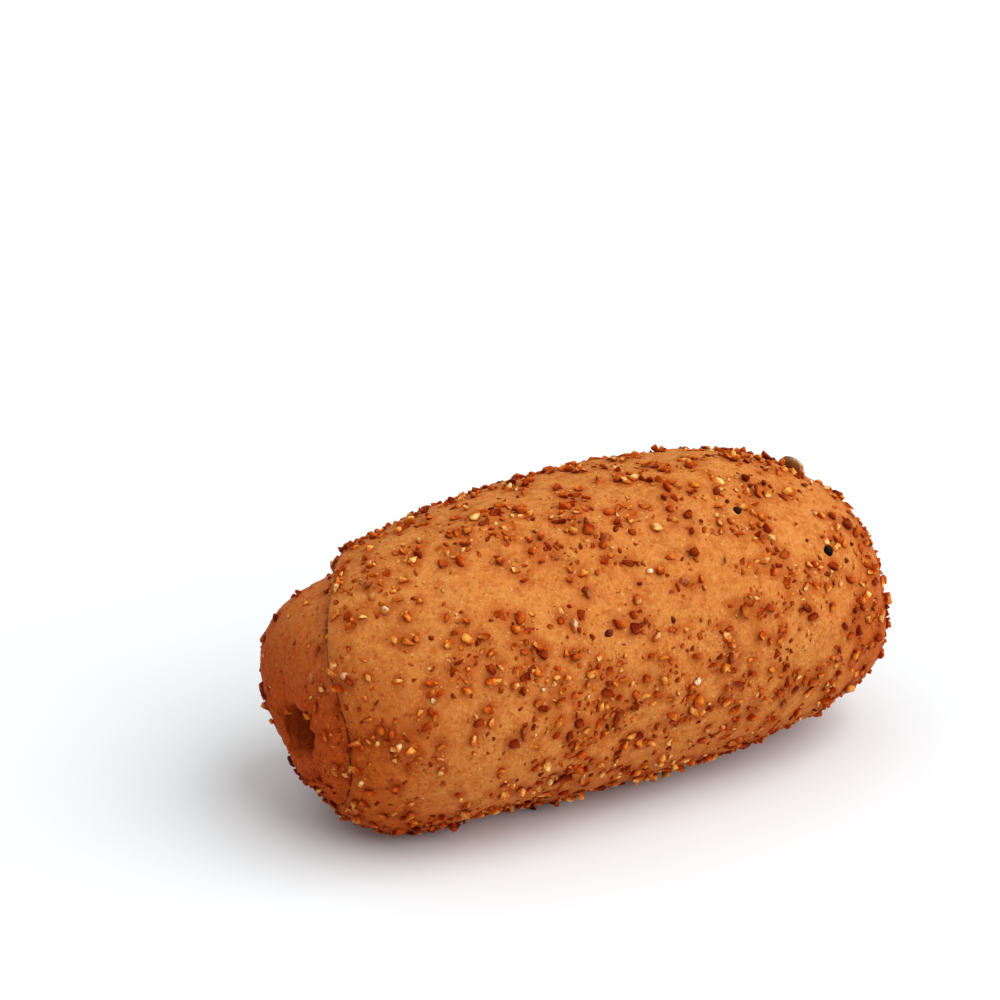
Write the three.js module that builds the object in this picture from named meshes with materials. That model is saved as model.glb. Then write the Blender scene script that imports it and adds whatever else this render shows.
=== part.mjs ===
// A bread roll: one sheet of dough rolled up into a stubby cylinder and baked on its side.
// It is one solid. Each end shows the edge of the sheet as a spiral seam around a deep dimple,
// and the underside has a narrow flat where the roll lay on the baking tray.
// Units are millimetres. X runs along the roll, Z is up, and the roll stands on the origin.
import * as THREE from 'three';

// Overall form
const BODY_LENGTH = 137.4;    // length of the curve that the round ends are drawn from
const BODY_WIDTH = 68;
const BODY_HEIGHT = 65;       // less than the width, because the dough settled on the tray
const END_SQUARENESS = 3.1;   // superellipse exponent of the outline: 2 is an ellipse
const END_SAG = 2.9;          // how much lower the axis lies at the ends than in the middle
const BASE_ROUNDING = 1.5;    // height over which the side curves into the flat underside

// Dimple in the middle of each end
const LIP_RADIUS = 1.6;       // rounding of the rim
const MOUTH_RADIUS = 5.2;     // half the height of the mouth, inside the rim
const MOUTH_WIDENING = 1.3;   // how much wider than it is high the mouth is
const BOWL_DEPTH = 9;         // from the inside of the rim to the bottom
const GIVE_RADIUS = 20;       // radius out to which the end gives way to the dimple's place and shape

// Spiral seam on each end: the sheet's edge stands proud of the turn inside it
const SEAM_FADE_OUT = 12;     // distance over which the inner turn rises again, towards the middle
const SEAM_FADE_IN = 1.2;     // distance over which the edge rounds off, on the outer turn
const SEAM_ROUTE = [          // [degrees around from the top, distance outwards from the rim, depth]
  [-150, 33.0, 0.0],
  [-105, 33.5, 0.4],
  [-60, 35.0, 2.0],
  [-35, 33.0, 3.6],
  [-12, 24.8, 3.4],
  [10, 16.8, 2.6],
  [35, 10.9, 1.7],
  [60, 11.0, 1.4],
  [90, 11.5, 1.2],
  [125, 12.3, 1.1],
  [150, 14.6, 1.0],
  [180, 16.0, 0.8],
  [225, 14.3, 0.5],
  [270, 11.3, 0.25],
  [360, 6.5, 0.2],
  [450, 3.5, 0.2],
  [540, 0.0, 0.2],
  [720, -9.0, 0.0],
];

// What differs between the two ends: which way each faces along X, how far its spiral is turned,
// how strong its seam is, how much its top leans out past its bottom, and where its dimple lies
const ENDS = [
  { side: -1, turn: 0, seam: 1.0, lean: 0.07, dimple: { y: -1.1, z: -2.2 } },
  { side: 1, turn: 215, seam: 0.6, lean: 0.0, dimple: { y: -1.0, z: 1.5 } },
];

// Facets
const FACETS_AROUND = 64;
const ROWS_ON_BODY = 18;      // from the middle of the roll to the rim of a dimple
const ROWS_ON_LIP = 3;
const ROWS_IN_BOWL = 4;

const halfLength = BODY_LENGTH / 2;
const halfWidth = BODY_WIDTH / 2;
const rimRadius = MOUTH_RADIUS + LIP_RADIUS;
const degrees = THREE.MathUtils.degToRad;
const seamStart = SEAM_ROUTE[0][0];
const seamEnd = SEAM_ROUTE[SEAM_ROUTE.length - 1][0];

// Distance along the roll at which its outline has a given radius
function bodyReach(radius) {
  return halfLength * (1 - (radius / halfWidth) ** END_SQUARENESS) ** (1 / END_SQUARENESS);
}

// Outline of half a roll, from its middle over the rim to the bottom of the dimple.
// Each entry holds x along the roll, r from its axis and s along the outline out from the rim.
function halfOutline() {
  const outline = [];
  const power = 2 / END_SQUARENESS;
  const rimTurn = Math.acos((rimRadius / halfWidth) ** (1 / power));
  for (let row = 0; row < ROWS_ON_BODY; row += 1) {
    const turn = rimTurn * row / ROWS_ON_BODY;
    outline.push({ x: halfLength * Math.sin(turn) ** power, r: halfWidth * Math.cos(turn) ** power });
  }
  const lipCentre = bodyReach(rimRadius) - LIP_RADIUS;
  for (let row = 0; row < ROWS_ON_LIP; row += 1) {
    const turn = Math.PI / 2 * row / ROWS_ON_LIP;
    outline.push({
      x: lipCentre + LIP_RADIUS * Math.cos(turn),
      r: rimRadius - LIP_RADIUS * Math.sin(turn),
    });
  }
  for (let row = 0; row <= ROWS_IN_BOWL; row += 1) {
    const turn = Math.PI / 2 * row / ROWS_IN_BOWL;
    outline.push({ x: lipCentre - BOWL_DEPTH * Math.sin(turn), r: MOUTH_RADIUS * Math.cos(turn) });
  }
  measureFromRim(outline);
  return outline;
}

// Adds to each entry its distance along the outline from the rim: above 0 outside, below 0 inside
function measureFromRim(outline) {
  let distance = 0;
  outline.forEach((entry, row) => {
    const before = outline[Math.max(row - 1, 0)];
    distance -= Math.hypot(entry.x - before.x, entry.r - before.r);
    entry.s = distance;
  });
  const rim = outline[ROWS_ON_BODY].s;
  outline.forEach((entry) => {
    entry.s -= rim;
  });
}

// Place and depth of the seam at a turn counted from the top, between the route's entries
function seamAt(turn) {
  const next = SEAM_ROUTE.findIndex(([angle]) => angle > turn);
  const [angleA, placeA, depthA] = SEAM_ROUTE[next - 1];
  const [angleB, placeB, depthB] = SEAM_ROUTE[next];
  const share = (turn - angleA) / (angleB - angleA);
  const ease = share * share * (3 - 2 * share);
  return {
    place: THREE.MathUtils.lerp(placeA, placeB, share),
    depth: THREE.MathUtils.lerp(depthA, depthB, ease),
  };
}

// How far the surface is sunk beside the seam, over every turn that passes a given angle
function seamSink(angle, s) {
  let sink = 0;
  for (let turn = angle - 720; turn < seamEnd; turn += 360) {
    if (turn > seamStart) {
      const seam = seamAt(turn);
      const inside = seam.place - s;
      const fade = inside > 0 ? SEAM_FADE_OUT : SEAM_FADE_IN;
      sink = Math.max(sink, seam.depth * Math.exp(-((inside / fade) ** 2)));
    }
  }
  return sink;
}

// Sideways direction in which an outline sinks, at one of its entries
function inward(outline, row) {
  const before = outline[Math.max(row - 1, 0)];
  const after = outline[Math.min(row + 1, outline.length - 1)];
  const length = Math.hypot(after.x - before.x, after.r - before.r);
  return { x: (after.r - before.r) / length, r: -(after.x - before.x) / length };
}

// The tray flattens everything below it, with a rounded edge to the flat
function settle(z) {
  if (z >= BASE_ROUNDING) {
    return z;
  }
  return z <= -BASE_ROUNDING ? 0 : (z + BASE_ROUNDING) ** 2 / (4 * BASE_ROUNDING);
}

// One point of the surface: an outline entry turned around the axis at one end of the roll
function surfacePoint(end, outline, row, angle) {
  const entry = outline[row];
  const sink = end.seam * seamSink(angle - end.turn, entry.s);
  const way = inward(outline, row);
  const radius = Math.max(entry.r + way.r * sink, 0);
  const along = entry.x + way.x * sink;
  const reach = entry.x / halfLength;
  const give = THREE.MathUtils.smoothstep(GIVE_RADIUS - entry.r, 0, GIVE_RADIUS - rimRadius);
  const up = radius * Math.cos(degrees(angle));
  const out = -radius * Math.sin(degrees(angle));
  const axisHeight = BODY_HEIGHT - halfWidth - END_SAG * reach ** 2;
  return new THREE.Vector3(
    end.side * (along + end.lean * up * reach ** 4),
    out * THREE.MathUtils.lerp(1, MOUTH_WIDENING, give) + end.dimple.y * give,
    settle(axisHeight + up + end.dimple.z * give),
  );
}

// The closed skin: rings of points from the bottom of one dimple to the bottom of the other
function rollGeometry() {
  const outline = halfOutline();
  const last = outline.length - 1;
  const [left, right] = ENDS;
  const stations = [];
  for (let row = last - 1; row > 0; row -= 1) {
    stations.push({ end: left, row });
  }
  for (let row = 0; row < last; row += 1) {
    stations.push({ end: right, row });
  }

  const positions = [];
  for (const { end, row } of stations) {
    for (let step = 0; step < FACETS_AROUND; step += 1) {
      positions.push(...surfacePoint(end, outline, row, step * 360 / FACETS_AROUND));
    }
  }
  const leftPole = positions.length / 3;
  positions.push(...surfacePoint(left, outline, last, 0));
  positions.push(...surfacePoint(right, outline, last, 0));

  const faces = [];
  const rings = stations.length;
  for (let step = 0; step < FACETS_AROUND; step += 1) {
    const next = (step + 1) % FACETS_AROUND;
    for (let ring = 0; ring < rings - 1; ring += 1) {
      const a = ring * FACETS_AROUND;
      const b = a + FACETS_AROUND;
      faces.push(a + step, a + next, b + step);
      faces.push(a + next, b + next, b + step);
    }
    const lastRing = (rings - 1) * FACETS_AROUND;
    faces.push(leftPole, next, step);
    faces.push(leftPole + 1, lastRing + step, lastRing + next);
  }

  const geometry = new THREE.BufferGeometry();
  geometry.setAttribute('position', new THREE.Float32BufferAttribute(positions, 3));
  geometry.setIndex(faces);
  geometry.computeBoundingBox();
  const { min, max } = geometry.boundingBox;
  geometry.translate(-(min.x + max.x) / 2, -(min.y + max.y) / 2, -min.z);
  geometry.computeVertexNormals();
  return geometry;
}

const crust = new THREE.MeshStandardMaterial({ color: 0xc07a40, roughness: 0.75, metalness: 0 });
const roll = new THREE.Mesh(rollGeometry(), crust);
roll.name = 'bread_roll';

const object = new THREE.Group();
object.name = 'bread_roll_part';
object.add(roll);

export default object;
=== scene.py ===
# The looks of a bread roll: one baked piece of rolled-up dough, its crust set with cracked wheat.
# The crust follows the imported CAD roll's form with a finer skin, and the wheat sits in that skin.
# Blender's unit is the metre. X runs along the roll, Z is up, and the roll stands on the origin.
import math
from dataclasses import dataclass

import bmesh
import bpy
import numpy as np
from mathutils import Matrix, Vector
from mathutils.kdtree import KDTree


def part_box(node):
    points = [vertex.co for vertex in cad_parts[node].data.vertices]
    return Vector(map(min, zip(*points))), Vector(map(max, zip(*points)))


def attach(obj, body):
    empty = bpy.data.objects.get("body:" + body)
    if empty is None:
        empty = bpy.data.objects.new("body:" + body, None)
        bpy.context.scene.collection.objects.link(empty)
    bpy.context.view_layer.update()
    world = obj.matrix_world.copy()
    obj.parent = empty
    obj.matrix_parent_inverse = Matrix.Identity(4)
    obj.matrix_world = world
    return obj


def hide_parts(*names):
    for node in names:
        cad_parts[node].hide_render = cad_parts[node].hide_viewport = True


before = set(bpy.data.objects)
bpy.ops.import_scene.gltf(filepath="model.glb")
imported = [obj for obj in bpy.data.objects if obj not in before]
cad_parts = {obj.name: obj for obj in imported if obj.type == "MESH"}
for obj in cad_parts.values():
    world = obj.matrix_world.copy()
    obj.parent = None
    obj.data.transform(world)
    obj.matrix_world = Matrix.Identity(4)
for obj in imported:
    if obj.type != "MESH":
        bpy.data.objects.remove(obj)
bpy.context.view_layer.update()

MM = 0.001
LOW, HIGH = (Vector(corner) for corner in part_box("bread_roll"))

# ---------------------------------------------------------------- form of the roll, as in the CAD
HALF_LENGTH = (HIGH.x - LOW.x) / 2
HALF_WIDTH = (HIGH.y - LOW.y) / 2
HEIGHT = HIGH.z - LOW.z
SQUARENESS = 3.1                # superellipse exponent of the outline
END_SAG = 2.9 * MM              # how much lower the axis lies at the ends than in the middle
BASE_ROUNDING = 1.5 * MM        # height over which the side curves into the flat underside
LIP_RADIUS = 1.6 * MM           # rounding of a dimple's rim
MOUTH_RADIUS = 5.2 * MM         # inside the rim
BOWL_DEPTH = 9 * MM             # from the inside of the rim to the bottom
RIM_RADIUS = MOUTH_RADIUS + LIP_RADIUS
DIMPLE_WIDENING = 1.3           # how much wider than it is high a dimple is
DIMPLE_EASE = 20 * MM           # radius out to which the end gives way to the dimple's place and shape
BODY_STEPS = 1500               # steps of the tabulated outline along the body
LIP_STEPS = 100                 # over the rim
BOWL_STEPS = 200                # and down the bowl

# The spiral seam on each end: degrees around from the top, millimetres out from the rim, and how
# many millimetres the turn inside it is sunk
SEAM_ROUTE = np.array([
    (-150, 33.0, 0.0),
    (-105, 33.5, 0.4),
    (-60, 35.0, 2.0),
    (-35, 33.0, 3.6),
    (-12, 24.8, 3.4),
    (10, 16.8, 2.6),
    (35, 10.9, 1.7),
    (60, 11.0, 1.4),
    (90, 11.5, 1.2),
    (125, 12.3, 1.1),
    (150, 14.6, 1.0),
    (180, 16.0, 0.8),
    (225, 14.3, 0.5),
    (270, 11.3, 0.25),
    (360, 6.5, 0.2),
    (450, 3.5, 0.2),
    (540, 0.0, 0.2),
    (720, -9.0, 0.0),
])
SEAM_START, SEAM_END = SEAM_ROUTE[0, 0], SEAM_ROUTE[-1, 0]
SEAM_FADE_OUT = 12 * MM         # how far the inner turn takes to rise again
SEAM_FADE_IN = 1.2 * MM         # how far the edge takes to round off
SEAM_EASING = 14                # degrees over which the route's corners are eased
SEAM_WANDER = [                 # how far the seam wanders, degrees to a radian of that wave, its phase
    (0.25 * MM, 17, 0),
    (0.15 * MM, 6.1, 1),
]
CRACK_WIDTH = 0.26 * MM         # of the open crack along the seam
CRACK_DEPTH = 0.8 * MM
CRACK_START = 6 * MM            # distance out from the rim at which the crack begins to open
CRACK_EASE = 3 * MM             # and over which it opens
CRACK_SINK = 1.0 * MM           # how deep the seam is where the crack is wide open
CRACK_WAVES = (4.3, 1.7)        # degrees to a radian of the two waves in which it opens and closes
GAPE_TURN = 13                  # degrees around from the top where the crack gapes widest
GAPE_REACH = 7                  # degrees around that the wide stretch takes to close
GAPE_WIDENING = 2.6             # how many times its width the crack gains there
GAPE_DEEPENING = 1.5            # how many times its depth it gains
EDGE_PLACE = 2.2                # how far outside the crack its pale edge lies, in crack widths
EDGE_WIDTH = 1.6                # how wide that edge is, in crack widths

# Swells of the dough, and dents below 0: millimetres along the roll, degrees around from the top
# towards the camera, half the length and half the width there, and the height in millimetres
SWELLS = [
    (14, -25, 24, 24, 0.6),
    (42, -16, 10, 18, 0.5),
    (57, -5, 8, 25, -0.6),
    (-42, -33, 10, 18, -0.9),
    (-20, 14, 12, 9, 0.25),
    (-33, 40, 9, 8, -0.25),
    (22, 60, 14, 12, 0.2),
    (-66, -70, 7, 32, 1.6),
    (-67, -145, 4, 22, -1.3),
    (-50, 155, 12, 15, 1.2),
    (2, 147, 20, 18, -1.4),
    (-30, 147, 14, 18, -2.6),
    (36, 147, 18, 18, -1.9),
    (64, 100, 8, 35, 0.9),
]
# Shallow wrinkles: points along each, as millimetres along the roll and degrees around
WRINKLES = [
    [(-35.5, -4), (-34.7, 3), (-30.5, 15), (-26.2, 26), (-24.3, 30)],
    [(3.4, 34), (7, 37), (10.1, 42)],
]
WRINKLE_WIDTH = 0.5 * MM
WRINKLE_DEPTH = 0.3 * MM
ARC = math.radians(HALF_WIDTH / MM)   # millimetres of the barrel's skin to a degree around

# Unevenness: the lumps' height and size, and the seed of the field that places them
DOUGH_LUMPS = [
    (0.32 * MM, 24 * MM, 1),
    (0.14 * MM, 8 * MM, 2),
    (0.05 * MM, 3.2 * MM, 3),
]
INNER_LUMPS = (0.12 * MM, 2.4 * MM, 7)    # on the turns inside the seam
RIM_LUMPS = (0.3 * MM, 3 * MM, 4)         # on each dimple's rim
RIM_REACH = 3 * MM              # how far from the rim its lumps reach
FOLD_HEIGHT = 0.12 * MM         # of the soft folds that run down into a dimple
FOLD_COUNT = 7
FOLD_TWIST = 400                # radians that they turn to a metre of depth
FOLD_START = 3 * MM             # distance out from the rim at which they begin
FOLD_EASE = 8 * MM              # and over which they grow


@dataclass
class End:
    """What differs between the two ends of the roll."""

    side: int                   # which way it faces along X
    turn: float                 # degrees that its spiral is turned
    lean: float                 # how much its top leans out past its bottom
    dimple_y: float             # where its dimple lies, from the roll's axis
    dimple_z: float
    seam: float                 # how deep its seam is, against the route's depths
    bare: float                 # share of the wheat that the turns inside the seam lack


LEFT = End(-1, turn=0, lean=0.07, dimple_y=-1.1 * MM, dimple_z=-2.2 * MM, seam=1.0, bare=0.9)
RIGHT = End(1, turn=215, lean=0.0, dimple_y=-1.0 * MM, dimple_z=1.5 * MM, seam=0.6, bare=0.1)


def half_outline():
    """x, r and s of half the outline, from the middle over the rim to the bottom of a dimple.

    s is the distance along the outline from the rim: above 0 outside it and below 0 inside."""
    power = 2 / SQUARENESS
    rim_turn = math.acos((RIM_RADIUS / HALF_WIDTH) ** (1 / power))
    turn = np.linspace(0, rim_turn, BODY_STEPS, endpoint=False)
    body = np.stack([HALF_LENGTH * np.sin(turn) ** power, HALF_WIDTH * np.cos(turn) ** power])
    rim_reach = HALF_LENGTH * (1 - (RIM_RADIUS / HALF_WIDTH) ** SQUARENESS) ** (1 / SQUARENESS)
    lip_centre = rim_reach - LIP_RADIUS
    turn = np.linspace(0, math.pi / 2, LIP_STEPS, endpoint=False)
    lip = np.stack([lip_centre + LIP_RADIUS * np.cos(turn), RIM_RADIUS - LIP_RADIUS * np.sin(turn)])
    turn = np.linspace(0, math.pi / 2, BOWL_STEPS)
    bowl = np.stack([lip_centre - BOWL_DEPTH * np.sin(turn), MOUTH_RADIUS * np.cos(turn)])
    x, r = np.hstack([body, lip, bowl])
    steps = np.hypot(np.diff(x), np.diff(r))
    s = -np.concatenate([[0], np.cumsum(steps)])
    return x, r, s - s[body.shape[1]]


OUTLINE_X, OUTLINE_R, OUTLINE_S = (values[::-1] for values in half_outline())
OUTLINE_SLOPE_X = -np.gradient(OUTLINE_X, OUTLINE_S)
OUTLINE_SLOPE_R = -np.gradient(OUTLINE_R, OUTLINE_S)


def smooth_step(value):
    """0 below 0, 1 above 1, and an eased rise between them."""
    value = np.clip(value, 0, 1)
    return value * value * (3 - 2 * value)


def below(height, start, fade):
    """0 above a height, 1 further than fade below it, and eased between them."""
    return smooth_step((start - height) / fade)


def waves(points, wavelength, seed, count=24):
    """A smooth random field over points, mostly within -1 to 1, with lumps of that wavelength."""
    random = np.random.default_rng(seed)
    ways = random.normal(size=(count, 3))
    ways /= np.linalg.norm(ways, axis=1, keepdims=True)
    ways *= 2 * math.pi / wavelength * random.uniform(0.7, 1.4, (count, 1))
    phases = random.uniform(0, 2 * math.pi, count)
    return np.cos(points @ ways.T + phases).sum(axis=-1) / math.sqrt(count)


def seam_tables():
    """Turns counted in degrees, and the seam's place and depth there, with the route's corners eased."""
    turns = np.arange(SEAM_START, SEAM_END + 1)
    window = np.hanning(2 * SEAM_EASING + 1)
    window /= window.sum()
    eased = []
    for column in (1, 2):
        exact = np.interp(turns, SEAM_ROUTE[:, 0], SEAM_ROUTE[:, column])
        padded = np.pad(exact, SEAM_EASING, mode="edge")
        eased.append(np.convolve(padded, window, mode="valid") * MM)
    wander = sum(size * np.sin(turns / span + phase) for size, span, phase in SEAM_WANDER)
    return turns, eased[0] + wander, eased[1]


SEAM_TURNS, SEAM_PLACES, SEAM_DEPTHS = seam_tables()


def seam_passes(end, angle):
    """For each turn of the seam that can pass an angle: its turn and place, and its depth or 0 if none."""
    for whole in range(-1, 3):
        turn = angle - end.turn + 360 * whole
        there = (turn > SEAM_START) & (turn < SEAM_END)
        place = np.interp(turn, SEAM_TURNS, SEAM_PLACES)
        depth = np.interp(turn, SEAM_TURNS, SEAM_DEPTHS)
        yield turn, place, np.where(there, end.seam * depth, 0)


def crack_openness(end, turn, place, depth, agape):
    """How open the crack along the seam is, from 0 to 1: it opens and closes as the seam goes round."""
    slow, fast = CRACK_WAVES
    gape = np.minimum(0.5 + 0.5 * np.sin(turn / slow) * np.sin(turn / fast + 2) + agape, 1)
    away = smooth_step((place - CRACK_START) / CRACK_EASE)
    return end.seam * gape * smooth_step(depth / CRACK_SINK) * away


def seam_relief(end, angle, s):
    """How far the seam sinks the skin, how open its crack is, and how near the crack's pale edge is."""
    sink = np.zeros_like(s)
    cut = np.zeros_like(s)
    crack = np.zeros_like(s)
    edge = np.zeros_like(s)
    for turn, place, depth in seam_passes(end, angle):
        inside = place - s
        fade = np.where(inside > 0, SEAM_FADE_OUT, SEAM_FADE_IN)
        sink = np.maximum(sink, depth * np.exp(-((inside / fade) ** 2)))
        agape = np.exp(-(((turn - GAPE_TURN) / GAPE_REACH) ** 2))
        width = CRACK_WIDTH * (1 + GAPE_WIDENING * agape)
        strength = crack_openness(end, turn, place, depth, agape)
        opened = strength * np.exp(-((inside / width) ** 2))
        crack = np.maximum(crack, opened)
        cut = np.maximum(cut, CRACK_DEPTH * (1 + GAPE_DEEPENING * agape) * opened)
        outside = (inside + EDGE_PLACE * width) / (EDGE_WIDTH * CRACK_WIDTH)
        edge = np.maximum(edge, strength * np.exp(-(outside ** 2)))
    return sink + cut, crack, edge


def settle(z):
    """Flattens what lies below the tray, with a rounded edge to the flat."""
    low = np.clip(z + BASE_ROUNDING, 0, None) ** 2 / (4 * BASE_ROUNDING)
    return np.where(z >= BASE_ROUNDING, z, low)


def plain_skin(end, angle, s, rise=0):
    """Points of the roll's skin as skin() gives them, but from the middle of its outline."""
    x = np.interp(s, OUTLINE_S, OUTLINE_X)
    r = np.interp(s, OUTLINE_S, OUTLINE_R)
    slope_x = np.interp(s, OUTLINE_S, OUTLINE_SLOPE_X)
    slope_r = np.interp(s, OUTLINE_S, OUTLINE_SLOPE_R)
    along = x - slope_r * rise
    radius = np.maximum(r + slope_x * rise, 0)
    reach = (x / HALF_LENGTH) ** 4
    give = smooth_step((DIMPLE_EASE - r) / (DIMPLE_EASE - RIM_RADIUS))
    up = radius * np.cos(np.radians(angle))
    out = -radius * np.sin(np.radians(angle))
    axis_height = HEIGHT - HALF_WIDTH - END_SAG * (x / HALF_LENGTH) ** 2
    return np.stack([
        end.side * (along + end.lean * up * reach),
        out * (1 + (DIMPLE_WIDENING - 1) * give) + end.dimple_y * give,
        settle(axis_height + up + end.dimple_z * give),
    ], axis=-1)


def centring():
    """How far the skin moves along X to lie in the middle of the CAD roll's box."""
    angle, s = np.meshgrid(np.arange(0, 360, 5), np.linspace(-5 * MM, 5 * MM, 60))
    left = plain_skin(LEFT, angle, s)[..., 0].min()
    right = plain_skin(RIGHT, angle, s)[..., 0].max()
    return np.array([(LOW.x + HIGH.x - left - right) / 2, 0, 0])


CENTRING = centring()


def skin(end, angle, s, rise=0):
    """Points of the roll's skin at angles in degrees around from the top, raised outwards by rise."""
    return plain_skin(end, angle, s, rise) + CENTRING


def along_and_around(points):
    """Millimetres along the roll, and degrees around from the top towards the camera."""
    x, y, z = np.moveaxis(points, -1, 0)
    axis_height = HEIGHT - HALF_WIDTH - END_SAG * (x / HALF_LENGTH) ** 2
    return x / MM, np.degrees(np.arctan2(-y, z - axis_height))


def patches(points, table):
    """The sum of smooth patches at each point: place, half sizes and amount for each."""
    along, around = along_and_around(points)
    total = np.zeros(along.shape)
    for patch_along, patch_around, half_length, half_turn, amount in table:
        turned = (around - patch_around + 180) % 360 - 180
        far = ((along - patch_along) / half_length) ** 2 + (turned / half_turn) ** 2
        total += amount * np.exp(-far)
    return total


def wrinkles(points):
    """How near each point is to a wrinkle: 1 in one, and 0 away from them all."""
    along, around = along_and_around(points)
    place = np.stack([along, around * ARC], axis=-1)
    near = np.zeros(along.shape)
    for route in WRINKLES:
        route = np.array(route) * (1, ARC)
        for start, stop in zip(route[:-1], route[1:]):
            way = stop - start
            share = np.clip((place - start) @ way / (way @ way), 0, 1)
            far = np.linalg.norm(place - start - share[..., None] * way, axis=-1)
            near = np.maximum(near, np.exp(-((far * MM / WRINKLE_WIDTH) ** 2)))
    return near


def lumps(points, height, size, seed):
    """Unevenness of that height and size at each point."""
    return height * waves(points, size, seed)


def relief(end, angle, s):
    """How far the finished dough stands off the plain skin, with the seam's crack and edge."""
    sunk, crack, edge = seam_relief(end, angle, s)
    points = skin(end, angle, s)
    rise = sum(lumps(points, *sort) for sort in DOUGH_LUMPS)
    rise += MM * patches(points, SWELLS) - WRINKLE_DEPTH * wrinkles(points)
    rise += inner_turns(end, angle, s) * lumps(points, *INNER_LUMPS)
    folds = np.sin(np.radians(FOLD_COUNT * angle) + FOLD_TWIST * s)
    rise += FOLD_HEIGHT * below(s, FOLD_START, FOLD_EASE) * folds
    rise += np.exp(-((s / RIM_REACH) ** 2)) * lumps(points, *RIM_LUMPS)
    return rise - sunk, crack, edge


# ---------------------------------------------------------------- where the wheat lies
# The dense and bare patches of the seen side: millimetres along the roll, degrees around from the
# top towards the camera, half the patch's length and half its width there, and how it changes the
# share of the skin that wheat covers
PATCHES = [
    (-52, 10, 12, 14, 0.5),
    (-44, 22, 9, 10, 0.4),
    (-33, 62, 10, 9, 1.2),
    (-15, 84, 12, 12, 1.5),
    (2, 84, 12, 11, 1.5),
    (-10, 100, 9, 10, 0.9),
    (16, 80, 8, 9, 1.1),
    (-2, 19, 16, 6, 0.4),
    (-22, 22, 8, 7, 0.3),
    (20, 20, 9, 8, 0.3),
    (30, 33, 9, 9, 0.3),
    (33, 59, 9, 8, 0.6),
    (-61, 100, 6, 30, 0.4),
    (54, 70, 6, 30, 0.7),
    (15, 110, 34, 14, 0.6),
    (10, 142, 50, 8, 1.2),
    (-47, 150, 12, 9, 1.0),
    (-37, 33, 8, 10, -1.0),
    (-43, 104, 10, 16, -1.1),
    (-44, 80, 7, 8, -0.6),
    (-16, -3, 12, 9, -0.9),
    (10, 4, 8, 6, -0.5),
    (5, 38, 12, 6, -0.9),
    (17, 57, 9, 10, -1.0),
    (-18, 45, 9, 8, -0.8),
    (42, 84, 8, 11, -1.1),
    (40, 32, 8, 8, -0.8),
    (-57, 50, 6, 14, -0.9),
]
COVER = 0.47                    # share of the tries that is kept on an average stretch of skin
DRIFTS = 0.35                   # how much that varies over broad stretches
DRIFT_SIZE = 30 * MM
CLUMP_SIZE = 9 * MM             # of the clumps that the wheat lies in
CLUMP_SHARE = 0.45              # how much of the skin the clumps take up
CLUMP_CONTRAST = 0.7            # how sharply they end
BETWEEN_CLUMPS = 0.15           # what the cover is multiplied by between clumps
IN_CLUMPS = 1.7                 # and what a clump adds to that
IN_DIMPLES = 0.25               # what the cover is multiplied by inside a dimple
DIMPLE_FADE = 4 * MM            # stretch across the rim over which the cover falls to that
SEAM_MARGIN = 1.6 * MM          # how far past the seam the skin is as bare as inside it

# Browning of the crust, with painted shade lower down: how strong it is on the sides, near the tray, on the
# ends and low on them
SIDE_BROWNING_AND_SHADE = 0.2
TRAY_BROWNING_AND_SHADE = 0.6
END_BROWNING = 0.15
LOW_END_BROWNING_AND_SHADE = 0.7
# Where each begins and over how much it grows, as shares of the roll's height or half length
SIDE_FADE = (0.95, 0.9)
TRAY_FADE = (0.35, 0.35)
LOW_END_FADE = (0.85, 0.4)
END_START, END_FADE = 0.6, 0.35


def cover(points):
    """The share of the tries that is kept at each point of the skin: the wheat lies in clumps."""
    share = 1 + DRIFTS * waves(points, DRIFT_SIZE, seed=5) + patches(points, PATCHES)
    clumps = smooth_step(CLUMP_SHARE + CLUMP_CONTRAST * waves(points, CLUMP_SIZE, seed=6))
    return COVER * share * (BETWEEN_CLUMPS + IN_CLUMPS * clumps)


def inner_turns(end, angle, s):
    """1 on the turns inside the seam, which were covered when the wheat went on, and 0 outside it."""
    inside = np.zeros_like(s)
    for turn, place, depth in seam_passes(end, angle):
        covered = (depth > 0) & (turn < 360)
        inside = np.maximum(inside, np.where(covered, smooth_step((place - s) / MM), 0))
    return end.bare * inside


def browning_and_shade(points):
    """How much the crust has browned, with painted shade low down: 0 on top of the middle, and 1 low on the
    ends.
    """
    height = points[..., 2] / HEIGHT
    reach = np.abs(points[..., 0]) / HALF_LENGTH
    barrel = SIDE_BROWNING_AND_SHADE * below(height, *SIDE_FADE) + TRAY_BROWNING_AND_SHADE * below(height, *TRAY_FADE)
    ends = END_BROWNING + LOW_END_BROWNING_AND_SHADE * below(height, *LOW_END_FADE)
    return np.minimum(barrel + ends * smooth_step((reach - END_START) / END_FADE), 1)


def random_places(tries, random):
    """Random places spread evenly over the skin: an end, an angle and an s for each."""
    area = np.cumsum(np.maximum(OUTLINE_R, 0) * np.gradient(OUTLINE_S))
    s = np.interp(random.uniform(0, area[-1], tries), area, OUTLINE_S)
    return random.random(tries) < 0.5, random.uniform(0, 360, tries), s


def spaced(points, sizes, gap):
    """Which points to keep so that each stands clear of those kept before it."""
    kept = np.zeros(len(points), bool)
    for index, point in enumerate(points):
        others = np.flatnonzero(kept)
        clear = gap * (sizes[others] + sizes[index]) / 2
        kept[index] = np.all(np.linalg.norm(points[others] - point, axis=1) > clear)
    return kept


@dataclass
class Grade:
    """One size of wheat."""

    tries: int                  # how many places are tried
    lengths: tuple              # the shortest, the commonest and the longest, in millimetres
    gap: float                  # between neighbours, as a share of their length
    bare: float                 # share that is missing where the end is bare
    worn: bool                  # whether the chips' edges are worn
    tilt: float                 # how far the chips tilt
    buried: tuple               # least and most depth in the crust, as shares of their length
    tinge: float                # share of their colour that is the clinging dough's


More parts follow.
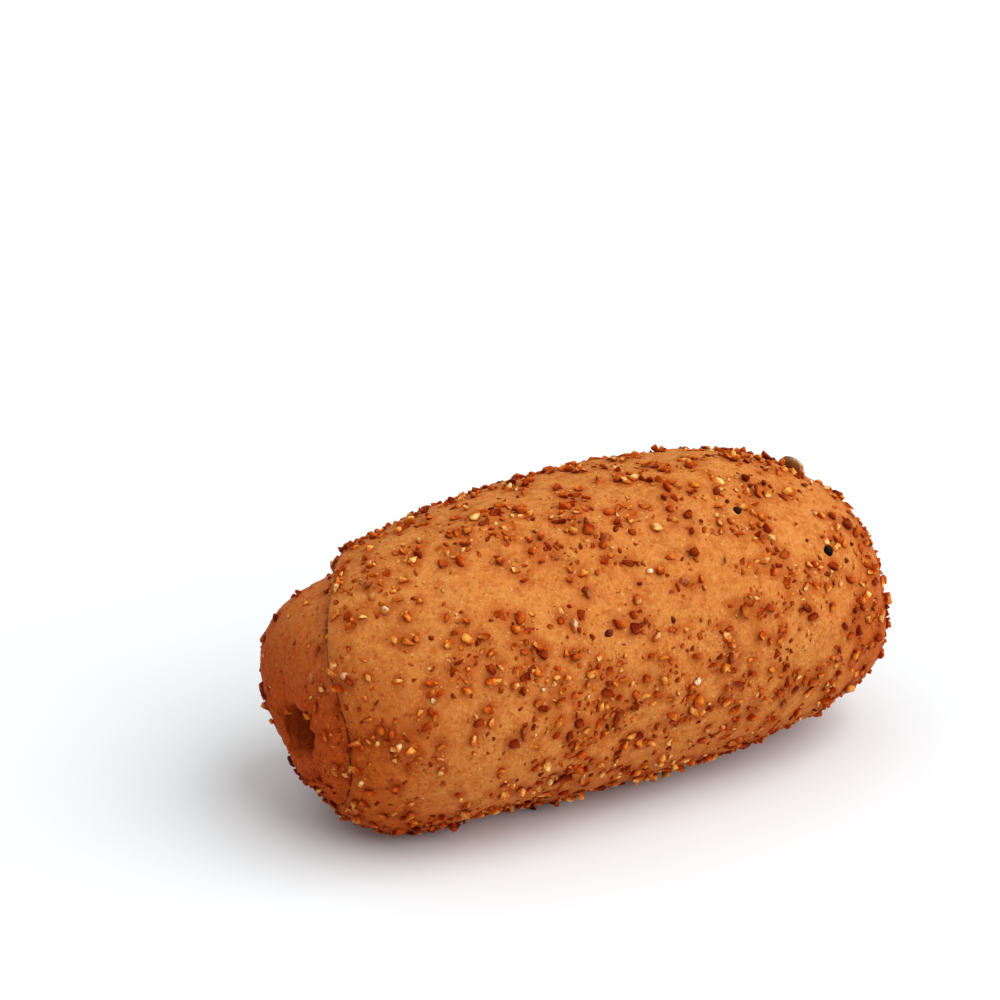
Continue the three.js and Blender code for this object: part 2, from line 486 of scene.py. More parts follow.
COARSE = Grade(6800, (2.1, 2.8, 4.4), 0.58, bare=0.8, worn=True, tilt=0.35, buried=(-0.2, 0.08), tinge=0)
MEDIUM = Grade(8600, (1.2, 1.8, 2.6), 0.66, bare=0.75, worn=True, tilt=0.4, buried=(-0.12, 0.1), tinge=0)
FINE = Grade(7500, (0.5, 0.8, 1.2), 0.8, bare=0.3, worn=False, tilt=0.5, buried=(-0.1, 0.15), tinge=0.35)


class Scatter:
    """Places for many chips: where each sits on the skin, which way is out, and how long it is."""

    def __init__(self, grade, seed):
        random = np.random.default_rng(seed)
        on_left, angle, s = random_places(grade.tries, random)
        size = random.triangular(*grade.lengths, grade.tries) * MM
        points, normals, bare = self.stand(on_left, angle, s)
        outside = smooth_step((s + DIMPLE_FADE / 2) / DIMPLE_FADE)
        share = cover(points) * (1 - grade.bare * bare) * (IN_DIMPLES + (1 - IN_DIMPLES) * outside)
        wanted = random.random(grade.tries) < share
        self.points, self.normals, self.size = points[wanted], normals[wanted], size[wanted]
        self.thin_out(grade.gap)

    @staticmethod
    def stand(on_left, angle, s):
        """Points on the finished skin, the ways out from it, and how bare it is there."""
        points = np.empty((len(s), 3))
        normals = np.empty((len(s), 3))
        bare = np.empty(len(s))
        for end, chosen in ((LEFT, on_left), (RIGHT, ~on_left)):
            turn, place = angle[chosen], s[chosen]
            rise = relief(end, turn, place)[0]
            points[chosen] = skin(end, turn, place, rise)
            normals[chosen] = way_out(end, turn, place)
            bare[chosen] = inner_turns(end, turn, place - SEAM_MARGIN)
        return points, normals, bare

    def thin_out(self, gap):
        """Drops the chips that would lie in one another."""
        kept = spaced(self.points, self.size, gap)
        self.points, self.normals, self.size = self.points[kept], self.normals[kept], self.size[kept]


def way_out(end, angle, s):
    """Unit normals of the plain skin."""
    step_s = 0.3 * MM
    step_angle = 1.0
    along = skin(end, angle, s + step_s) - skin(end, angle, s - step_s)
    around = skin(end, angle + step_angle, s) - skin(end, angle - step_angle, s)
    normals = np.cross(along, around) * end.side
    return normals / np.maximum(np.linalg.norm(normals, axis=1, keepdims=True), 1e-12)


# ---------------------------------------------------------------- meshes
COLUMNS = 380                   # points of the crust around the roll
ROWS = 127                      # points of the crust from the middle to the bottom of each dimple
ROW_STEPS = 2400                # steps in which the rows' places are worked out
# How close the rows lie: distance out from the rim, and rows against those of a plain stretch
ROW_PLACES = (-5 * MM, 0, 20 * MM, 38 * MM, 45 * MM)
ROW_DENSITIES = (1.5, 1.5, 1.2, 1.1, 0.85)
SEAM_ROWS = 8                   # what a seam 1 mm deep adds to that
SEAM_ROWS_REACH = 0.7 * MM      # and how far from it
HOLLOW_START = 1 * MM           # distance out from the rim at which painted shade begins to darken the crust in a dimple
HOLLOW_FADE = 9 * MM            # and over which it does
LOW_END_SHADE_FADE = (0.8, 0.22)      # share of the height below which painted shade darkens the ends' inner turns, and over how much
STAIN_AND_SHADE_REACH = 0.2 * MM          # how far the browning and painted shade around a chip reach past it
STAIN_AND_SHADE_SIZE = 0.55               # how much of the chip's length lies between its middle and its edge
STAIN_AND_SHADE_CHIPS = 4                 # how many chips can brown one point


def add_object(name, data):
    """A new object in the scene that shows a mesh, camera or light."""
    thing = bpy.data.objects.new(name, data)
    bpy.context.collection.objects.link(thing)
    return thing


def make_object(name, points, faces, material, smooth=True):
    """An object in the scene from points in metres and faces."""
    mesh = bpy.data.meshes.new(name)
    mesh.from_pydata([tuple(point) for point in points], [], faces)
    mesh.validate()
    mesh.materials.append(material)
    mesh.polygons.foreach_set("use_smooth", [smooth] * len(mesh.polygons))
    return add_object(name, mesh)


def store(mesh, name, values):
    """Stores a number, or three, for each point of a mesh."""
    kind, field = ("FLOAT", "value") if values.ndim == 1 else ("FLOAT_VECTOR", "vector")
    attribute = mesh.attributes.new(name, kind, "POINT")
    attribute.data.foreach_set(field, values.astype(np.float32).ravel())


def crust_rows(end, angles):
    """Where the crust's rows lie at each angle: s from the middle to the dimple, close at the seam."""
    s = np.linspace(OUTLINE_S[0], OUTLINE_S[-1], ROW_STEPS)
    plain = np.interp(s, ROW_PLACES, ROW_DENSITIES)
    rows = np.empty((ROWS, len(angles)))
    for column, angle in enumerate(angles):
        density = plain.copy()
        for _, place, depth in seam_passes(end, np.array(angle)):
            near = np.exp(-(((s - place) / SEAM_ROWS_REACH) ** 2))
            density += SEAM_ROWS * smooth_step(depth / MM) * near
        share = np.cumsum(density)
        share = (share - share[0]) / (share[-1] - share[0])
        rows[:, column] = np.interp(np.linspace(1, 0, ROWS), share, s)
    return rows


def crust_faces(rings):
    """Faces of a closed skin of rings of points, followed by its two end points."""
    ring, column = np.meshgrid(np.arange(rings - 1), np.arange(COLUMNS), indexing="ij")
    after = (column + 1) % COLUMNS
    corners = [ring * COLUMNS + column, ring * COLUMNS + after]
    corners += [(ring + 1) * COLUMNS + after, (ring + 1) * COLUMNS + column]
    faces = np.stack(corners, axis=-1).reshape(-1, 4).tolist()
    left_end, right_end = rings * COLUMNS, rings * COLUMNS + 1
    last = (rings - 1) * COLUMNS
    for column in range(COLUMNS):
        after = (column + 1) % COLUMNS
        faces.append((left_end, after, column))
        faces.append((right_end, last + column, last + after))
    return faces


def crust_fields():
    """The crust's points, and its crack, its pale edge, its inner turns and s at each of them.

    The rings run from the bottom of one dimple to the bottom of the other, and the two bottoms follow."""
    angles = np.arange(COLUMNS) * 360 / COLUMNS
    halves = []
    for end in (LEFT, RIGHT):
        s = crust_rows(end, angles)
        angle = np.broadcast_to(angles, s.shape)
        rise, crack, edge = relief(end, angle, s)
        halves.append((skin(end, angle, s, rise), crack, edge, inner_turns(end, angle, s), s))
    joined = []
    for left, right in zip(*halves):
        rings = np.concatenate([left[-2:0:-1], right[:-1]])
        poles = np.stack([left[-1, 0], right[-1, 0]])
        joined.append(np.concatenate([rings.reshape((-1,) + rings.shape[2:]), poles]))
    return joined


def make_crust(material, wheat):
    """The whole baked skin, with the seam cut into both ends, and what its colours depend on."""
    points, crack, edge, inner, s = crust_fields()
    hollow = below(s, HOLLOW_START, HOLLOW_FADE)
    fields = {
        "crack": crack,
        "edge": edge,
        "inner": inner,
        "hollow": hollow,
        # painted shade low on the inner turns of the ends
        "low_end_shade": inner * (1 - hollow) * below(points[:, 2] / HEIGHT, *LOW_END_SHADE_FADE),
        # browning and painted shade in a halo round the chips
        "stain_and_shade": nearness(points, wheat),
        "wrinkle": wrinkles(points),
        # browning, with painted shade low down and low on the ends
        "browned_and_shaded": browning_and_shade(points),
    }
    crust = make_object("crust", points, crust_faces(2 * ROWS - 3), material)
    for name, values in fields.items():
        store(crust.data, name, values)
    return crust


def nearness(points, wheat):
    """How closely wheat surrounds each point of the crust: 0 for none near, 1 for a chip right there."""
    tree = KDTree(len(wheat.points))
    for index, point in enumerate(wheat.points):
        tree.insert(point, index)
    tree.balance()
    near = np.zeros(len(points))
    for place, point in enumerate(points):
        for _, index, distance in tree.find_n(point, STAIN_AND_SHADE_CHIPS):
            edge = STAIN_AND_SHADE_SIZE * wheat.size[index] + STAIN_AND_SHADE_REACH
            near[place] += math.exp(-((distance / edge) ** 4))
    return np.minimum(near, 1)


CHIP_SHAPES = 24                # how many shapes of chip each grade has
CHIP_WIDTH = (0.24, 0.42)       # half a chip's width, as a share of its length
CHIP_HEIGHT = (0.2, 0.36)       # and half its height
CHIP_CORNERS = (9, 14)          # the fewest corners that a chip is made from, and one past the most
CHIP_RAGGEDNESS = (0.8, 1.1)    # how far in and out they stand
CHIP_FLATNESS = 0.3             # radians up to which neighbouring faces become one
CHIP_WEAR = 0.045               # width of a worn edge, as a share of the chip's length


def chip_shape(random, worn):
    """Points and triangles of one cracked grain: an angular lump of length 1, its edges worn if asked."""
    lump = bmesh.new()
    half = np.array([0.5, random.uniform(*CHIP_WIDTH), random.uniform(*CHIP_HEIGHT)])
    for _ in range(random.integers(*CHIP_CORNERS)):
        way = random.normal(size=3)
        way /= np.linalg.norm(way)
        lump.verts.new(way * half * random.uniform(*CHIP_RAGGEDNESS))
    hull = bmesh.ops.convex_hull(lump, input=lump.verts)
    loose = [item for item in hull["geom_interior"] if isinstance(item, bmesh.types.BMVert)]
    bmesh.ops.delete(lump, geom=loose, context="VERTS")
    bmesh.ops.dissolve_limit(lump, angle_limit=CHIP_FLATNESS, verts=lump.verts, edges=lump.edges)
    if worn:
        edges = list(lump.edges)
        bmesh.ops.bevel(lump, geom=edges, offset=CHIP_WEAR, segments=1, affect="EDGES", clamp_overlap=True)
    bmesh.ops.triangulate(lump, faces=lump.faces)
    bmesh.ops.recalc_face_normals(lump, faces=lump.faces)
    lump.verts.index_update()
    points = np.array([vertex.co for vertex in lump.verts])
    faces = np.array([[vertex.index for vertex in face.verts] for face in lump.faces])
    lump.free()
    return points, faces


LIGHT_GAIN = 1.23               # how much lighter than its own colour the lit top of the roll looks


def shade(red, green, blue):
    """The linear numbers that Blender works with, for a colour as the lit top of the roll shows it."""
    colour = []
    for value in (red, green, blue):
        value /= 255
        linear = value / 12.92 if value <= 0.04045 else ((value + 0.055) / 1.055) ** 2.4
        colour.append(linear / LIGHT_GAIN)
    return tuple(colour)


CRUMB = shade(214, 128, 60)     # colour of the dough that clings to the smallest chips
# The tints of chip: how common each is, and its bran and floury heart as shade() takes them
TINTS = [
    (0.28, (168, 58, 6), (206, 96, 24)),
    (0.25, (186, 74, 10), (228, 134, 46)),
    (0.17, (200, 92, 20), (244, 172, 78)),
    (0.09, (210, 108, 32), (252, 204, 120)),
    (0.14, (128, 36, 3), (166, 62, 10)),
    (0.01, (210, 124, 52), (255, 232, 186)),
    (0.02, (154, 70, 28), (200, 118, 62)),
]
TINT_SPREAD = (0.85, 1.15)      # how much darker or lighter than its tint a chip can be
BROWN_AND_SHADE = np.array([0.77, 0.42, 0.22])   # what full browning and painted shade multiply a colour by
WHEAT_BROWNING_AND_SHADE = 0.3            # how much of the crust's browning and painted shade the wheat takes on
# Where the wheat is more toasted, or lighter where below 0, as patches like those above; the patches below 0
# along the top, the back and the base are partly painted light on chips that lie in shade
TOASTED_AND_LIT = [
    (14, 52, 36, 26, 0.28),
    (-46, 8, 22, 32, -0.3),
    (14, -6, 34, 20, -0.25),
    (14, -44, 70, 26, -0.5),
    (46, -2, 22, 32, -0.5),
    (64, 50, 14, 60, -0.5),
    (10, 142, 60, 16, -0.5),
]

# The grains that stand out: millimetres along the roll, degrees around, length, width and height in
# millimetres, degrees turned, how deep they sit in millimetres, and a dark and a pale colour as
# shade() takes them
GRAINS = [
    (53.5, -2, (6.8, 4.2, 3.6), 10, -0.7, (138, 90, 50), (226, 196, 154)),
    (27.5, 30, (2.7, 1.9, 1.6), 20, 0.3, (30, 12, 6), (66, 28, 12)),
    (46, 51, (2.7, 2.3, 2.0), 60, 0.1, (20, 12, 8), (44, 24, 14)),
    (48.2, 50.5, (1.8, 1.4, 1.2), 20, 0.0, (214, 130, 50), (255, 220, 140)),
    (-4.7, 30, (4.2, 2.8, 2.0), -20, 0.5, (126, 48, 12), (194, 100, 40)),
    (7.9, 52, (3.7, 3.0, 1.4), 30, 0.4, (140, 62, 26), (196, 114, 60)),
    (1, 46, (1.9, 1.2, 1.0), 10, 0.0, (226, 160, 90), (255, 250, 226)),
    (7, 88, (2.0, 1.6, 1.2), 40, 0.0, (230, 160, 84), (255, 246, 210)),
    (-50, 100, (2.2, 1.4, 1.2), 70, 0.0, (226, 150, 70), (255, 232, 170)),
    (-66.5, 165, (3.6, 1.8, 1.2), 80, -0.2, (96, 26, 5), (142, 48, 12)),
    (-67.8, -160, (2.8, 1.6, 1.6), 20, -0.3, (70, 18, 5), (116, 34, 9)),
    (-12.2, 63, (2.2, 1.4, 1.1), 20, 0.1, (88, 28, 14), (138, 52, 22)),
    (3.1, 64, (1.7, 1.0, 0.9), 100, 0.1, (88, 28, 12), (138, 52, 20)),
    (-57.6, 87, (2.0, 1.3, 1.0), 60, 0.0, (226, 150, 70), (255, 232, 170)),
    (-63.3, 112, (2.0, 1.1, 0.9), 80, 0.0, (222, 140, 60), (255, 222, 150)),
    (-64.2, 38, (2.2, 1.6, 1.0), 70, 0.1, (200, 112, 50), (246, 184, 120)),
    (-63.4, 46, (1.8, 1.5, 1.0), 20, 0.1, (204, 128, 74), (248, 196, 146)),
    (-67.5, 20, (3.0, 2.4, 1.0), 30, 0.3, (168, 80, 32), (206, 124, 68)),
]
GRAIN_SIDES = 14
GRAIN_RINGS = 10
GRAIN_TAPER = 0.18              # how much slimmer than its middle a grain is towards its pointed end
CREASE_DEPTH = 0.22             # of the crease along a grain, as a share of its radius
CREASE_WIDTH = 0.3              # radians around that the crease takes
GRAIN_UNEVENNESS = 0.12         # how lumpy a grain is, as a share of its size
GRAIN_LUMP = 0.7                # how long its lumps are, as a share of its length


def axes_on_skin(normals, tilt, random):
    """For each normal a turned and slightly tilted set of axes, as columns, the third roughly along it."""
    count = len(normals)
    third = normals + random.normal(scale=tilt, size=(count, 3))
    third /= np.linalg.norm(third, axis=1, keepdims=True)
    first = np.cross(third, random.normal(size=(count, 3)))
    first /= np.linalg.norm(first, axis=1, keepdims=True)
    return np.stack([first, np.cross(third, first), third], axis=-1)


def placed(shape, size, axes, place):
    """A shape's points, scaled, turned and moved to a place, with none below the tray."""
    points = shape * size @ axes.T + place
    points[:, 2] = np.maximum(points[:, 2], 0)
    return points


def make_chips(name, chips, material, smooth):
    """One mesh of many chips, each given as its points, triangles, places within it, bran and heart, whose
    pale colour also serves as a painted highlight.
    """
    points, faces, within, bran, heart_and_highlight = zip(*chips)
    counts = [len(chip_points) for chip_points in points]
    starts = np.cumsum([0] + counts[:-1])
    faces = np.concatenate([chip_faces + start for chip_faces, start in zip(faces, starts)])
    piece = make_object(name, np.concatenate(points), faces.tolist(), material, smooth)
    store(piece.data, "within", np.concatenate(within))
    store(piece.data, "bran", np.repeat(bran, counts, axis=0))
    store(piece.data, "heart_and_highlight", np.repeat(heart_and_highlight, counts, axis=0))
    return piece


def toasting_light_and_shade(points):
    """What the wheat's colours are multiplied by at each point, for how brown it is there, with painted
    shade low down and painted light where the patches lighten it.
    """
    toast_light_and_shade = WHEAT_BROWNING_AND_SHADE * browning_and_shade(points) + patches(points, TOASTED_AND_LIT)
    return 1 - np.outer(toast_light_and_shade, 1 - BROWN_AND_SHADE)


def chip_colour(tint, tinge, light):
    """A chip's colour, from its tint, the share of it that is the clinging dough's, and the toasting with
    its painted light and shade.
    """
    mixed = tinge * np.array(CRUMB) + (1 - tinge) * np.array(shade(*tint))
    return np.minimum(light * mixed, 1)


def make_wheat(name, scatter, material, grade, seed):
    """Many chips of cracked wheat as one mesh, each sunk in the crust and coloured by its own tint."""
    random = np.random.default_rng(seed)
    shapes = [chip_shape(random, grade.worn) for _ in range(CHIP_SHAPES)]
    axes = axes_on_skin(scatter.normals, grade.tilt, random)
    depth = random.uniform(*grade.buried, len(scatter.size)) * scatter.size
    places = scatter.points - scatter.normals * depth[:, None]
    shares = np.array([share for share, _, _ in TINTS])
    tints = random.choice(len(TINTS), len(places), p=shares / shares.sum())
    # toasting, with painted shade low down and painted light where the patches lighten the chips
    toast_light_and_shade = toasting_light_and_shade(scatter.points)
    chips = []
    for index, chosen in enumerate(random.integers(0, CHIP_SHAPES, len(places))):
        shape, faces = shapes[chosen]
        light = toast_light_and_shade[index] * random.uniform(*TINT_SPREAD)
        _, *colours = TINTS[tints[index]]
        bran, heart_and_highlight = (chip_colour(tint, grade.tinge, light) for tint in colours)
        points = placed(shape, scatter.size[index], axes[index], places[index])
        chips.append((points, faces, shape / np.abs(shape).max(axis=0), bran, heart_and_highlight))
    return make_chips(name, chips, material, smooth=False)


def spot(along, around):
    """A place on the finished skin, from millimetres along the roll and degrees around, and the way out."""
    end = LEFT if along < 0 else RIGHT
    outside = OUTLINE_S > 0
    s = np.interp([-abs(along) * MM], -OUTLINE_X[outside], OUTLINE_S[outside])
    angle = np.array([float(around)])
    return skin(end, angle, s, relief(end, angle, s)[0])[0], way_out(end, angle, s)[0]


def axes_along(normal, turn):
    """Axes on the skin as columns: the first along the roll, turned about the third, which is the normal."""
    first = np.array([1.0, 0.0, 0.0]) - normal * normal[0]
    first /= np.linalg.norm(first)
    second = np.cross(normal, first)
    turn = math.radians(turn)
    ahead = first * math.cos(turn) + second * math.sin(turn)
    return np.stack([ahead, np.cross(normal, ahead), normal], axis=-1)


def grain_shape():
    """Points and triangles of a whole grain of length 1: plump, pointed at one end, with a crease on top."""
    points = [(-0.5, 0, 0)]
    for ring in range(1, GRAIN_RINGS):
        reach = -math.cos(math.pi * ring / GRAIN_RINGS)
        plump = 0.5 * math.sqrt(1 - reach * reach) * (1 - GRAIN_TAPER * reach)
        for side in range(GRAIN_SIDES):
            turn = 2 * math.pi * side / GRAIN_SIDES
            crease = CREASE_DEPTH * math.exp(-((turn - math.pi / 2) / CREASE_WIDTH) ** 2)
            radius = plump * (1 - crease)
            points.append((0.5 * reach, radius * math.cos(turn), radius * math.sin(turn)))
    points.append((0.5, 0, 0))
    return np.array(points), np.array(grain_faces(len(points) - 1))


def grain_faces(last):
    """Triangles of a grain: its first point, rings of points, and its last point."""
    faces = []
    for side in range(GRAIN_SIDES):
        after = (side + 1) % GRAIN_SIDES
        faces.append((0, 1 + after, 1 + side))
        faces.append((last, last - GRAIN_SIDES + side, last - GRAIN_SIDES + after))
        for ring in range(GRAIN_RINGS - 2):
            low = 1 + ring * GRAIN_SIDES
            high = low + GRAIN_SIDES
            faces.append((low + side, low + after, high + after))
            faces.append((low + side, high + after, high + side))
    return faces


def make_grains(material):
    """The few whole or charred grains that stand out, as one mesh."""
    shape, faces = grain_shape()
    grains = []
    for along, around, size, turn, depth, dark, pale in GRAINS:
        place, normal = spot(along, around)
        uneven = 1 + lumps(shape + along, GRAIN_UNEVENNESS, GRAIN_LUMP, seed=31)
        sunk = place - normal * depth * MM
        points = placed(shape * uneven[:, None], np.array(size) * MM, axes_along(normal, turn), sunk)
        grains.append((points, faces, 2 * shape, shade(*dark), shade(*pale)))
    return make_chips("whole_grains", grains, material, smooth=True)


# ---------------------------------------------------------------- materials
RIM_SHADE = (0.70, 0.36, 0.15)  # painted shade: what a chip's tint is multiplied by at its rim and in crevices


class Nodes:
    """A material's node tree, with short calls for the nodes that the recipes below use."""

    def __init__(self, name):
        self.material = bpy.data.materials.new(name)
        self.material.use_nodes = True
        self.tree = self.material.node_tree
        self.shader = self.tree.nodes["Principled BSDF"]
        self.place = self.tree.nodes.new("ShaderNodeTexCoord").outputs["Object"]

    def link(self, value, socket):
        """Feeds a socket from another node's output, or sets it to a plain value."""
        if isinstance(value, bpy.types.NodeSocket):
            self.tree.links.new(value, socket)
        elif socket.type == "RGBA":
            socket.default_value = (*value, 1)
        else:
            socket.default_value = value

    def node(self, kind, inputs):
        """A new node with its inputs fed or set, each by its name or number."""
        node = self.tree.nodes.new("ShaderNode" + kind)
        for socket, value in inputs.items():
            self.link(value, node.inputs[socket])
        return node

    def moved(self, offset):
        """The place on the object, moved by an offset in metres each way."""
        node = self.node("VectorMath", {0: self.place, 1: (offset, offset, offset)})
        node.operation = "ADD"
        return node.outputs["Vector"]

    def noise(self, size, detail=3, roughness=0.55, offset=0.0):
        """Noise with lumps of about that size in metres, from 0 to 1."""
        inputs = {"Scale": 1 / size, "Detail": detail, "Roughness": roughness, "Vector": self.moved(offset)}
        return self.node("TexNoise", inputs).outputs["Fac"]

    def cells(self, size):
        """Distance to the nearest of many scattered points, which lie about that size apart."""
        return self.node("TexVoronoi", {"Scale": 1 / size, "Vector": self.place}).outputs["Distance"]

    def attribute(self, name, output="Fac"):
        """A number, Color or Vector stored on the mesh."""
        node = self.node("Attribute", {})
        node.attribute_name = name
        return node.outputs[output]

    def parts(self, vector):
        """The X, Y and Z of a vector."""
        return self.node("SeparateXYZ", {"Vector": vector}).outputs

    def span(self, value, low, high, to_low=0.0, to_high=1.0):
        """Maps low..high to to_low..to_high, and no further."""
        ends = {"From Min": low, "From Max": high, "To Min": to_low, "To Max": to_high}
        node = self.node("MapRange", {"Value": value, **ends})
        node.interpolation_type = "SMOOTHSTEP"
        return node.outputs["Result"]

    def math(self, operation, first, second):
        """A sum, product or other simple result of two numbers."""
        node = self.node("Math", {0: first, 1: second})
        node.operation = operation
        return node.outputs["Value"]

    def mix(self, share, first, second, blend="MIX"):
        """Two colours blended by a share."""
        node = self.node("Mix", {"Factor": share})
        node.data_type = "RGBA"
        node.blend_type = blend
        inputs = [socket for socket in node.inputs if socket.type == "RGBA"]
        self.link(first, inputs[0])
        self.link(second, inputs[1])
        return next(socket for socket in node.outputs if socket.type == "RGBA")

    def stain_and_shade(self, colour, where, amount, tint, blend="MIX"):
        """A colour with a tint over it where a mask says, by up to an amount; it lays both the crust's own
        marks and painted shade.
        """
        return self.mix(self.math("MULTIPLY", where, amount), colour, tint, blend)

    def bump(self, height, distance, under=None):
        """A bump of that height in metres, on top of another if one is given."""
        node = self.node("Bump", {"Distance": distance, "Strength": 1, "Height": height})
        if under is not None:
            self.link(under, node.inputs["Normal"])
        return node.outputs["Normal"]

    def crevice(self, distance):
        """How closed in the surroundings are within a distance: 0 in the open, and 1 in a crevice, used as a
        mask for painted shade.
        """
        node = self.node("AmbientOcclusion", {"Distance": distance})
        node.samples = 8
        return self.span(node.outputs["AO"], 0.3, 0.9, 1.0, 0.0)

    def set(self, **values):
        """Sets or feeds the shader's own sockets, named with _ for a space."""
        for name, value in values.items():
            self.link(value, self.shader.inputs[name.replace("_", " ")])


def dough_colour(m):
    """The warm tan of the crust, mottled at three sizes."""
    mottle = m.span(m.noise(9 * MM, detail=4), 0.35, 0.68)
    fine = m.span(m.noise(0.7 * MM, detail=4, roughness=0.75), 0.38, 0.62)
    blotch = m.span(m.noise(1.9 * MM, detail=4, roughness=0.7), 0.46, 0.64)
    colour = m.mix(mottle, shade(206, 118, 49), shade(216, 133, 61))
    colour = m.stain_and_shade(colour, fine, 0.75, shade(228, 152, 80))
    return m.stain_and_shade(colour, blotch, 0.6, shade(190, 94, 34))


def baked_colour(m, colour):
    """What baking did from place to place: round the wheat, on the ends and along the seam, with painted
    shade round the wheat, low on the ends, in the dimples, in the wrinkles and in the crack.
    """
    inner = m.attribute("inner")
    # browning and painted shade in a halo round the wheat
    colour = m.stain_and_shade(colour, m.attribute("stain_and_shade"), 0.56, shade(176, 72, 18))
    colour = m.mix(inner, colour, (1.0, 0.84, 0.74), blend="MULTIPLY")
    # painted shade low on the inner turns of the ends
    colour = m.mix(m.attribute("low_end_shade"), colour, (0.88, 0.67, 0.56), blend="MULTIPLY")
    rough = m.span(m.noise(0.9 * MM, detail=4, roughness=0.8, offset=0.61), 0.42, 0.62)
    colour = m.stain_and_shade(colour, m.math("MULTIPLY", rough, inner), 0.35, shade(230, 154, 90))
    # painted shade in the dimples
    colour = m.stain_and_shade(colour, m.attribute("hollow"), 0.6, shade(160, 62, 14))
    # painted shade in the wrinkles
    colour = m.stain_and_shade(colour, m.attribute("wrinkle"), 0.4, shade(172, 82, 30))
    colour = m.stain_and_shade(colour, m.attribute("edge"), 0.5, shade(214, 152, 92))
    # painted shade in the open crack
    return m.stain_and_shade(colour, m.attribute("crack"), 0.8, shade(92, 58, 34))


def speckled_colour(m, colour):
    """Dark pores, pale flecks, and painted shade in the crevices round the chips."""
    pores = m.span(m.cells(1.6 * MM), 0.12, 0.26, 1.0, 0.0)
    flecks = m.span(m.noise(1.1 * MM, detail=3, offset=0.37), 0.62, 0.72)
    colour = m.stain_and_shade(colour, pores, 0.5, shade(160, 64, 14))
    colour = m.stain_and_shade(colour, flecks, 0.6, shade(242, 184, 114))
    # painted shade in the crevices round the chips
    return m.stain_and_shade(colour, m.crevice(0.45 * MM), 0.65, shade(130, 40, 4))


def crust_material():
    """Baked wholegrain crust: warm tan, browner and with painted shade low down and on the ends, with a fine
    rough skin.
    """
    m = Nodes("crust")
    colour = speckled_colour(m, baked_colour(m, dough_colour(m)))
    # browning, with painted shade low down and low on the ends
    colour = m.mix(m.attribute("browned_and_shaded"), colour, tuple(BROWN_AND_SHADE), blend="MULTIPLY")
    grain = m.bump(m.noise(0.45 * MM, detail=4, roughness=0.65), 0.16 * MM)
    bumps = m.bump(m.noise(2.0 * MM, detail=3), 0.3 * MM, under=grain)
    m.set(Base_Color=colour, Roughness=0.7, Normal=bumps, Specular_IOR_Level=0.03)
    m.set(Subsurface_Weight=0.12, Subsurface_Radius=(1.0, 0.3, 0.1), Subsurface_Scale=1.0 * MM)
    return m.material


def wheat_material():
    """Toasted cracked wheat: clear amber with a dark rim of painted shade and a paler heart that is partly a
    painted highlight, each chip in its own tint.
    """
    m = Nodes("cracked_wheat")
    across, along, up = m.parts(m.attribute("within", "Vector"))
    cloud = m.noise(0.7 * MM, detail=3)
    # the heart: partly the grain's floury heart, partly a painted highlight on the chip's top and one side
    side = m.math("ADD", m.math("MULTIPLY", across, 0.6), m.math("MULTIPLY", up, 0.5))
    heart_and_highlight = m.span(m.math("ADD", side, m.math("MULTIPLY", cloud, 1.6)), 0.85, 1.5)
    colour = m.mix(heart_and_highlight, m.attribute("bran", "Color"), m.attribute("heart_and_highlight", "Color"))
    # painted shade: the chip's rim and lower side darkened where it meets the crust
    out = m.math("ADD", m.math("MULTIPLY", across, across), m.math("MULTIPLY", along, along))
    out = m.math("SUBTRACT", out, m.math("MULTIPLY", up, 0.6))
    rim = m.span(m.math("ADD", out, m.noise(0.6 * MM, detail=2, offset=0.23)), 0.5, 1.3)
    colour = m.stain_and_shade(colour, rim, 0.8, RIM_SHADE, blend="MULTIPLY")
    # painted shade in the crevices round each chip
    colour = m.stain_and_shade(colour, m.crevice(0.4 * MM), 0.5, RIM_SHADE, blend="MULTIPLY")
    m.set(Base_Color=colour, Roughness=0.4, Specular_IOR_Level=0.03)
    m.set(Subsurface_Weight=0.15, Subsurface_Radius=(1.0, 0.35, 0.1), Subsurface_Scale=0.4 * MM)
    m.set(Normal=m.bump(m.noise(0.35 * MM, detail=2), 0.1 * MM))
    return m.material


def floor_material():
    """Plain pale studio floor."""
    m = Nodes("floor")
    colour = m.mix(m.noise(40 * MM, detail=2), (0.795, 0.83, 0.845), (0.815, 0.85, 0.865))
    m.set(Base_Color=colour, Roughness=0.9, Specular_IOR_Level=0.1)
    return m.material


# ---------------------------------------------------------------- studio
VIEW_AZIMUTH = -31.3            # degrees round from the front, towards -X
VIEW_ELEVATION = 26.0           # degrees above the horizon
VIEW_DISTANCE = 678 * MM        # from the middle of the roll
ROLL_RIGHT = 17.5 * MM          # how far right of the middle of the picture the roll lies
ROLL_BELOW = 26.2 * MM          # how far below it
LENS = 115.2                    # focal length in millimetres
SENSOR_WIDTH = 36               # millimetres
FLOOR_SIZE = 8.0
SURROUNDINGS = 0.42             # strength of the light from all around


def direction(azimuth, elevation):
    """The way from the roll to something seen at an azimuth and elevation in degrees."""
    a, e = math.radians(azimuth), math.radians(elevation)
    return Vector((math.sin(a) * math.cos(e), -math.cos(a) * math.cos(e), math.sin(e)))


def aim(thing, target):
    """Turns a camera or light to face a point."""
    thing.rotation_euler = (target - thing.location).to_track_quat("-Z", "Y").to_euler()


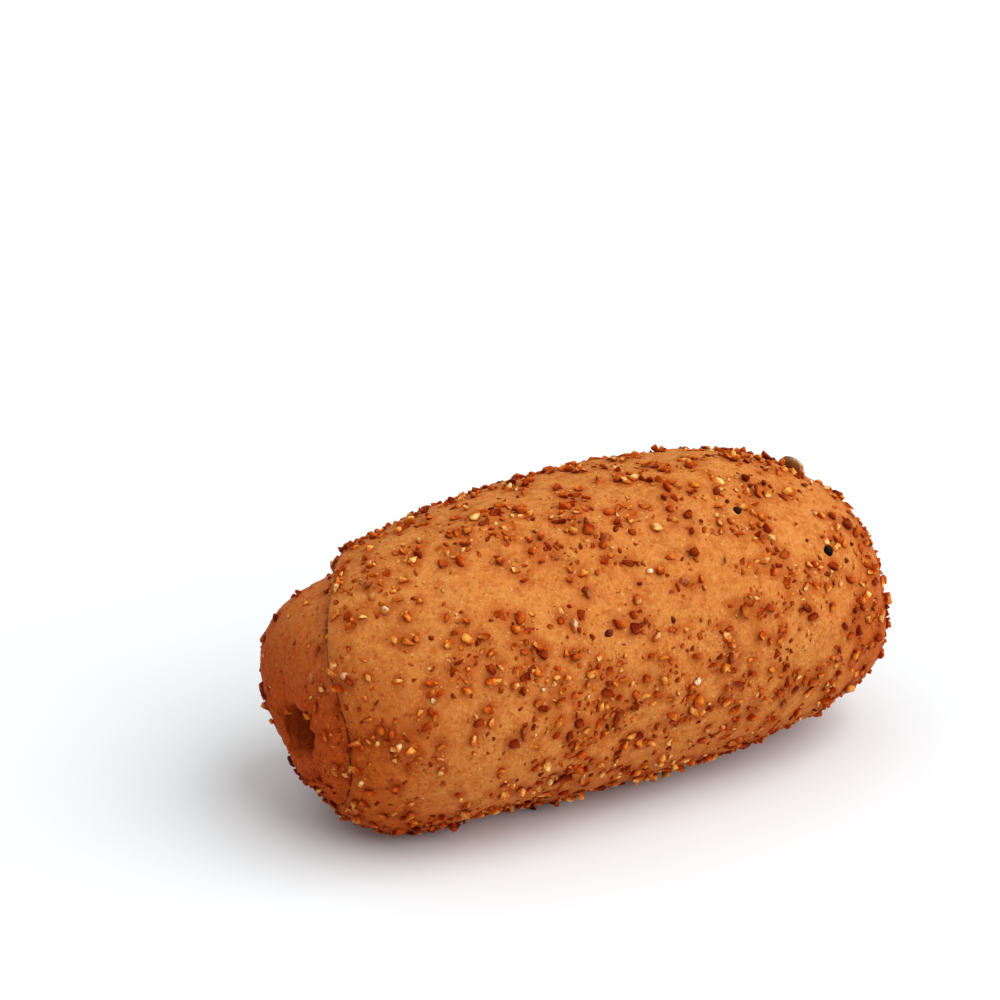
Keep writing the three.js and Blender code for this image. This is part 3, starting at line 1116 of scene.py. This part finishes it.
def add_camera():
    """The camera, which sees the roll from above its left front and off the picture's middle."""
    camera = add_object("camera", bpy.data.cameras.new("camera"))
    camera.data.lens = LENS
    camera.data.sensor_width = SENSOR_WIDTH
    camera.data.clip_start = 0.01
    middle = Vector((0, 0, HEIGHT / 2))
    view = direction(VIEW_AZIMUTH, VIEW_ELEVATION)
    right = Vector((0, 0, 1)).cross(view).normalized()
    up = view.cross(right)
    camera.location = middle + view * VIEW_DISTANCE
    aim(camera, middle - right * ROLL_RIGHT + up * ROLL_BELOW)
    bpy.context.scene.camera = camera


def add_soft_light(name, azimuth, elevation, spread, strength):
    """Even light from a wide patch of the sky around one direction."""
    light = add_object(name, bpy.data.lights.new(name, "SUN"))
    light.data.angle = math.radians(spread)
    light.data.energy = strength
    light.location = direction(azimuth, elevation)
    aim(light, Vector((0, 0, 0)))


def add_surroundings():
    """Even pale light from all around."""
    world = bpy.data.worlds.new("studio")
    world.use_nodes = True
    background = world.node_tree.nodes["Background"]
    background.inputs["Color"].default_value = (1, 1, 1, 1)
    background.inputs["Strength"].default_value = SURROUNDINGS
    bpy.context.scene.world = world


def add_floor():
    """A wide level floor under the roll."""
    half = FLOOR_SIZE / 2
    corners = [(-half, -half, 0), (half, -half, 0), (half, half, 0), (-half, half, 0)]
    floor = make_object("floor", corners, [(0, 1, 2, 3)], floor_material())


def add_studio():
    """Camera, floor and lights."""
    add_camera()
    add_floor()
    add_surroundings()
    add_soft_light("key_light", azimuth=38, elevation=44.5, spread=68, strength=2.75)
    add_soft_light("top_light", azimuth=-110, elevation=82, spread=80, strength=0.82)
    bpy.context.scene.view_settings.view_transform = "Standard"


# ---------------------------------------------------------------- the roll
def add_roll():
    """The crust and the wheat on it."""
    coarse = Scatter(COARSE, seed=11)
    crust = make_crust(crust_material(), coarse)
    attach(crust, "root")
    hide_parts("bread_roll")
    wheat = wheat_material()
    pieces = [
        make_wheat("coarse_wheat", coarse, wheat, COARSE, seed=21),
        make_wheat("medium_wheat", Scatter(MEDIUM, seed=12), wheat, MEDIUM, seed=22),
        make_wheat("fine_wheat", Scatter(FINE, seed=13), wheat, FINE, seed=23),
        make_grains(wheat),
    ]
    for piece in pieces:
        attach(piece, "root")


add_studio()
add_roll()
